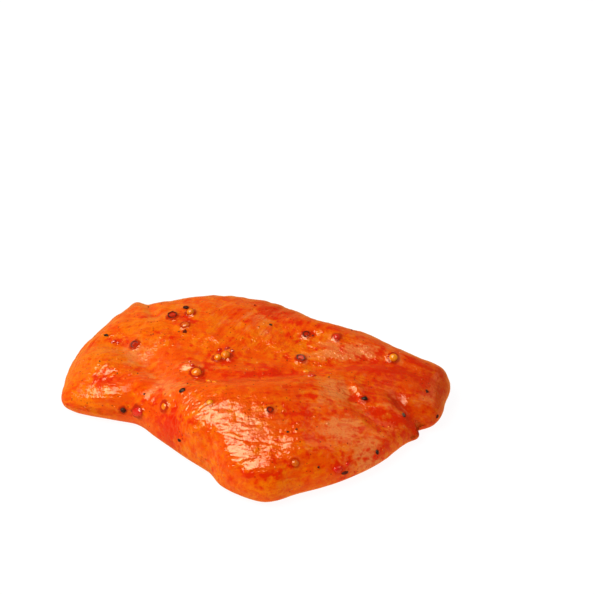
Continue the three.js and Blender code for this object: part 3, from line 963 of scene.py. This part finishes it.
def surface_at(spots):
    """Points on the finished surface under x, y places, and the way that it faces there, in millimetres."""
    slopes = [(top(spots + way) - top(spots - way)) / (2 * SLOPE_STEP) for way in SLOPE_STEP * np.eye(2)]
    away = np.stack([-slopes[0], -slopes[1], np.ones(len(spots))], axis=1)
    away /= np.linalg.norm(away, axis=1, keepdims=True)
    smooth = np.column_stack([spots, top(spots)])
    lift = relief(smooth) - POOL_HEIGHT * pools(smooth)
    points = smooth + away * lift[:, None]
    points[:, :2] += STAND
    return points, away


def seat(piece, point, away):
    """The matrix that puts a piece of diameter 1 on the meat at its real size."""
    place, size, turn, sunk, tint = piece
    centre = Vector((point + away * size[2] * (0.5 - sunk)) * MM)
    tip = Vector((0, 0, 1)).rotation_difference(Vector(away)).to_matrix().to_4x4()
    spin = Matrix.Rotation(math.radians(turn), 4, "Z")
    scale = Matrix.Diagonal((*(Vector(size) * MM), 1.0))
    return Matrix.Translation(centre) @ tip @ spin @ scale


def seated(pieces, first_seed):
    """Each piece with its seat and a seed of its own."""
    points, away = surface_at(np.array([piece[0] for piece in pieces], float))
    for seed, (piece, point, way) in enumerate(zip(pieces, points, away), first_seed):
        yield piece, seat(piece, point, way), seed


def settle(bm, verts, tint_layer, piece, matrix, seed, bump, rise):
    """Pushes a new shape's points in and out, and puts it in its seat with its tint."""
    push = noise(np.array([vert.co for vert in verts]) / bump, seed)
    for vert, way in zip(verts, push):
        vert.co *= 1 + rise * way
        vert[tint_layer] = piece[4]
    bmesh.ops.transform(bm, matrix=matrix, verts=verts)


def new_pieces():
    """An empty bmesh whose points have a tint, and a mask for the red core of a husk."""
    bm = bmesh.new()
    bm.verts.layers.float.new("tint")
    bm.verts.layers.float.new("core")
    return bm


def finish_pieces(name, bm, material):
    bmesh.ops.recalc_face_normals(bm, faces=bm.faces)
    mesh = bpy.data.meshes.new(name)
    bm.to_mesh(mesh)
    bm.free()
    mesh.shade_smooth()
    mesh.set_sharp_from_angle(angle=SHARP_FROM)
    put_on_solid(name, mesh, material)


def make_round(name, material, pieces, subdivisions, bump, rise, seed):
    """Makes all pieces of one kind as spheres out of round, from the size and rise of their bumps."""
    bm = new_pieces()
    tint_layer = bm.verts.layers.float["tint"]
    for piece, matrix, own_seed in seated(pieces, seed):
        verts = bmesh.ops.create_icosphere(bm, subdivisions=subdivisions, radius=SEED_RADIUS)["verts"]
        settle(bm, verts, tint_layer, piece, matrix, own_seed, bump, rise)
    finish_pieces(name, bm, material)


spots = np.array([piece[0] for piece in MUSTARD_SEEDS], float)
print("the meat under the mustard seeds is", surface_at(spots)[0][:, 2].round(1), "mm high")

# %% [markdown]
# ## Mustard seeds
#
# Yellow mustard seeds are nearly round, with a thin skin that puckers as it soaks. The skin is deeper in
# colour towards the seed's outline, where it is seen edge-on.

# %% Make the mustard seeds
SEED_PALE = (1.0, 0.31, 0.0)
SEED_DEEP = (1.0, 0.21, 0.0)
SEED_SOAKED = (0.72, 0.10, 0.0)
SEED_BLOTCH = (0.92, 0.20, 0.002)
SEED_RIM = (0.96, 0.15, 0.0)


def mustard_material():
    material, tree, shader, place = new_material("mustard_seed")
    tint = mask_of(tree, "tint")
    facing = add(tree, "ShaderNodeLayerWeight", {"Blend": 0.45}).outputs["Facing"]
    film = film_on(tree, place, 0.5, 0.25, 0.4)
    colour = lay_over(
        tree, SEED_PALE,
        (ramp(tree, tint, 0.0, 0.8), SEED_DEEP),
        (ramp(tree, tint, 0.85, 1.0), SEED_SOAKED),
        (ramp(tree, noise_of(tree, place, 900.0, 3.0), 0.5, 0.75), SEED_BLOTCH),
        (ramp(tree, facing, 0.45, 0.95), SEED_RIM),
    )
    fill(tree, shader.inputs, {
        "Base Color": colour,
        "Roughness": film["Roughness"],
        "Normal": bump_of(tree, 0.4, 0.05, film["Height"]),
        "Specular IOR Level": 0.3,
        "Subsurface Weight": 0.2,
        "Subsurface Radius": (1.0, 0.5, 0.1),
        "Subsurface Scale": 0.6 * MM,
        "Coat Weight": 0.7,
        "Coat Roughness": 0.05,
    })
    return material


make_round(
    "mustard_seeds", mustard_material(), MUSTARD_SEEDS,
    subdivisions=4, bump=0.6, rise=0.05, seed=40)

# %% [markdown]
# ## Cracked pepper
#
# The pepper is cracked, not ground. Some corns are half shells, black outside with a red pool inside: a
# sphere is cut by a plane, its open side is filled, and the fill is inset and pressed in. Others are crumbs
# with broken faces, which is a sphere cut by several planes.

# %% The pepper's material
BLACK = (0.028, 0.010, 0.007)
DARK_RED = (0.16, 0.012, 0.004)
HUSK_DUST = (0.10, 0.06, 0.035)
HUSK_CORE = (0.72, 0.025, 0.0)


def pepper_material():
    material, tree, shader, place = new_material("cracked_pepper")
    wrinkle = noise_of(tree, place, 1500.0, 4.0)
    film = film_on(tree, place, 0.4, 0.3, 0.5)
    colour = lay_over(
        tree, BLACK,
        (mask_of(tree, "tint"), DARK_RED),
        (ramp(tree, wrinkle, 0.5, 0.8), HUSK_DUST),
        (mask_of(tree, "core"), HUSK_CORE),
    )
    fill(tree, shader.inputs, {
        "Base Color": colour,
        "Roughness": film["Roughness"],
        "Normal": bump_of(tree, 0.7, 0.08, wrinkle),
        "Specular IOR Level": 0.12,
        "Coat Weight": 0.05,
        "Coat Roughness": 0.08,
    })
    return material


pepper = pepper_material()
print("pepper nodes:", len(pepper.node_tree.nodes))

# %% [markdown]
# A cut drops what lies outside its plane. The open edge that it leaves is closed again at once, so that each
# piece stays a closed shape.

# %% Make the cracked pepper
HUSK_OPEN_AT = 0.12
HUSK_OPENS_TO = (0.1, -0.55, 1.0)  # towards the front, where the eye looks into it
HUSK_WALL = 0.08
HUSK_DEPTH = 0.2
CRUMB_CUTS = 5
CRUMB_CUT_AT = (0.26, 0.42)


def cut_off(bm, verts, point, normal):
    """Cuts a shape by a plane, drops what is outside, and returns what is left of it and the open edges."""
    alive = set(verts)
    faces = [face for face in bm.faces if face.verts[0] in alive]
    edges = {edge for face in faces for edge in face.edges}
    geometry = [*verts, *edges, *faces]
    result = bmesh.ops.bisect_plane(bm, geom=geometry, plane_co=point, plane_no=normal, clear_outer=True)
    made = [*result["geom"], *result["geom_cut"]]
    left = {item for item in made if isinstance(item, bmesh.types.BMVert) and item.is_valid}
    return list(left), [edge for edge in bm.edges if edge.is_boundary and edge.verts[0] in left]


def add_husk(whole, piece, matrix, seed):
    """Builds a half shell by itself, because its cut would mix with other pieces, and adds it."""
    bm = new_pieces()
    tint_layer, core_layer = bm.verts.layers.float.values()
    verts = bmesh.ops.create_icosphere(bm, subdivisions=3, radius=SEED_RADIUS)["verts"]
    verts, rim = cut_off(bm, verts, (0, 0, HUSK_OPEN_AT), HUSK_OPENS_TO)
    filling = bmesh.ops.edgeloop_fill(bm, edges=rim)["faces"]
    bmesh.ops.inset_region(bm, faces=filling, thickness=HUSK_WALL, depth=0.0)
    bmesh.ops.inset_region(bm, faces=filling, thickness=HUSK_WALL / 2, depth=-HUSK_DEPTH)
    for face in bmesh.ops.poke(bm, faces=filling)["faces"]:
        for vert in face.verts:
            vert[core_layer] = 1.0
    settle(bm, bm.verts, tint_layer, piece, matrix, seed, 0.3, 0.22)
    shell = bpy.data.meshes.new("shell")
    bm.to_mesh(shell)
    bm.free()
    whole.from_mesh(shell)
    bpy.data.meshes.remove(shell)


def add_crumb(bm, piece, matrix, seed, draw):
    verts = bmesh.ops.create_icosphere(bm, subdivisions=2, radius=SEED_RADIUS)["verts"]
    for cut in range(CRUMB_CUTS):
        way = Vector(draw.normal(size=3)).normalized()
        verts, rim = cut_off(bm, verts, way * draw.uniform(*CRUMB_CUT_AT), way)
        if rim:
            bmesh.ops.edgeloop_fill(bm, edges=rim)
    settle(bm, verts, bm.verts.layers.float["tint"], piece, matrix, seed, 0.3, 0.2)


def make_pepper():
    bm = new_pieces()
    draw = np.random.default_rng(PLACE_SEED + 1)
    for piece, matrix, seed in seated(PEPPER_HUSKS, 60):
        add_husk(bm, piece, matrix, seed)
    for piece, matrix, seed in seated(PEPPER_CRUMBS, 80):
        add_crumb(bm, piece, matrix, seed, draw)
    finish_pieces("cracked_pepper", bm, pepper)


make_pepper()

# %% [markdown]
# ## Chili
#
# The chili is soft red flesh, cut small, and wet through. An icosphere pushed far out of round, and then
# flattened to its size, reads as a torn bit of it.

# %% Make the chili
CHILI_FRESH = (0.86, 0.004, 0.006)
CHILI_DARK = (0.52, 0.008, 0.002)
CHILI_BLOTCH = (0.84, 0.02, 0.002)


def chili_material():
    material, tree, shader, place = new_material("chili")
    film = film_on(tree, place, 0.7, 0.2, 0.35)
    colour = lay_over(
        tree, CHILI_FRESH,
        (mask_of(tree, "tint"), CHILI_DARK),
        (ramp(tree, noise_of(tree, place, 700.0, 3.0), 0.5, 0.8), CHILI_BLOTCH),
    )
    fill(tree, shader.inputs, {
        "Base Color": colour,
        "Roughness": film["Roughness"],
        "Normal": bump_of(tree, 0.4, 0.08, film["Height"]),
        "Subsurface Weight": 0.1,
        "Subsurface Radius": (1.0, 0.15, 0.05),
        "Subsurface Scale": 0.8 * MM,
        "Coat Weight": 1.0,
        "Coat Roughness": 0.04,
    })
    return material


make_round("chili_bits", chili_material(), CHILI_BITS, subdivisions=4, bump=0.5, rise=0.22, seed=100)

# %% [markdown]
# ## Specks
#
# Ground pepper and spice lie all over the top, from a pinhead down to dust. They are crumbs with few faces,
# strewn by a seeded random draw that keeps to the top.

# %% Strew the specks
SPECKS = 64
SPECK_SIZES = (0.3, 0.95)
SPECK_SUNK = 0.35
STREW_X = (-74.0, 74.0)
STREW_Y = (-52.0, 52.0)
KEEP_FROM_EDGE = 2.5


def strewn(count, sizes, draw):
    """Random pieces on the top, small ones more often than large ones."""
    pieces = []
    while len(pieces) < count:
        spot = np.array([draw.uniform(*STREW_X), draw.uniform(*STREW_Y)])
        if np.hypot(*(spot - HEART)) > around(turn_of(spot[None]), REACH)[0] - KEEP_FROM_EDGE:
            continue
        length = sizes[0] + (sizes[1] - sizes[0]) * draw.uniform() ** 3
        size = (length, length * draw.uniform(0.5, 0.9), length * draw.uniform(0.4, 0.7))
        pieces.append((tuple(spot), size, draw.uniform(0, 360), SPECK_SUNK, draw.uniform()))
    return pieces


specks = strewn(SPECKS, SPECK_SIZES, np.random.default_rng(PLACE_SEED + 2))
make_round("pepper_specks", pepper, specks, subdivisions=1, bump=0.4, rise=0.3, seed=200)

# %% [markdown]
# ## Floor and light
#
# The steak lies on plain white that glows like a light table, so its shadow stays faint. A large soft panel
# at the front left lights it, and a small one behind lights its left side. Panels that show in nothing but
# the gloss draw the highlights. The rest of the room is dim and orange in the gloss, so that the marinade
# keeps its deep colour between them.

# %% Floor, lights and sky
FLOOR_HALF = 3.0
FLOOR_PAINT = 0.12
FLOOR_GLOW = 0.93
FLOOR_IN_GLOSS = (0.78, 0.29, 0.05)  # the floor round the steak is tinted by it
SKY_ON_MEAT = 0.42
SKY_IN_GLOSS = 0.26
SKY_TINT_IN_GLOSS = (1.0, 0.40, 0.04)
# place, size in metres, colour, power in watts, whether it lights the meat, whether it shows in the gloss
PANELS = {
    "key_light": ((-0.42, -0.22, 0.78), (0.55, 0.45), (1.0, 0.98, 0.94), 4.9, True, False),
    "back_light": ((-0.75, 0.5, 0.4), (0.5, 0.4), (1.0, 0.98, 0.94), 2.2, True, False),
    "key_gloss": ((-0.38, -0.20, 0.80), (0.60, 0.90), (1.0, 0.92, 0.64), 16.5, False, True),
    "wall_gloss": ((-0.4, 2.2, 0.42), (3.4, 1.0), (1.0, 0.46, 0.08), 6.0, False, True),
    "side_gloss": ((1.0, 0.25, 0.95), (0.7, 0.7), (1.0, 0.66, 0.26), 2.4, False, True),
}


def floor():
    bm = bmesh.new()
    bmesh.ops.create_grid(bm, x_segments=1, y_segments=1, size=FLOOR_HALF)
    mesh = bpy.data.meshes.new("floor")
    bm.to_mesh(mesh)
    bm.free()
    material, tree, shader, place = new_material("white_floor")
    glossy = add(tree, "ShaderNodeLightPath").outputs["Is Glossy Ray"]
    paint, glow = (
        lay_over(tree, (seen, seen, seen), (glossy, tuple(seen * part for part in FLOOR_IN_GLOSS)))
        for seen in (FLOOR_PAINT, FLOOR_GLOW)
    )
    fill(tree, shader.inputs, {
        "Base Color": paint,
        "Emission Color": glow,
        "Emission Strength": 1.0,
        "Roughness": 0.9,
        "Specular IOR Level": 0.0,
    })
    mesh.materials.append(material)
    piece = bpy.data.objects.new("floor", mesh)
    bpy.context.scene.collection.objects.link(piece)


def panel(name, place, size, colour, power, on_meat, in_gloss):
    """A soft panel that faces the steak, and shows in its diffuse light, its gloss or both."""
    light = bpy.data.lights.new(name, "AREA")
    light.shape = "RECTANGLE"
    light.size, light.size_y = size
    light.color = colour
    light.energy = power
    lamp = bpy.data.objects.new(name, light)
    lamp.location = place
    lamp.rotation_euler = (-Vector(place)).to_track_quat("-Z", "Y").to_euler()
    lamp.visible_diffuse = on_meat
    lamp.visible_glossy = in_gloss
    bpy.context.scene.collection.objects.link(lamp)


def sky():
    world = bpy.data.worlds.new("white_room")
    world.use_nodes = True
    tree = world.node_tree
    path = add(tree, "ShaderNodeLightPath").outputs
    seen = times(tree, path["Is Camera Ray"], 1.0 - SKY_ON_MEAT)
    gloss = times(tree, path["Is Glossy Ray"], SKY_IN_GLOSS - SKY_ON_MEAT)
    fill(tree, tree.nodes["Background"].inputs, {
        "Color": lay_over(tree, (1.0, 1.0, 1.0), (path["Is Glossy Ray"], SKY_TINT_IN_GLOSS)),
        "Strength": total(tree, seen, gloss, SKY_ON_MEAT),
    })
    bpy.context.scene.world = world


floor()
sky()
for name, values in PANELS.items():
    panel(name, *values)
bpy.context.scene.view_settings.view_transform = "Standard"
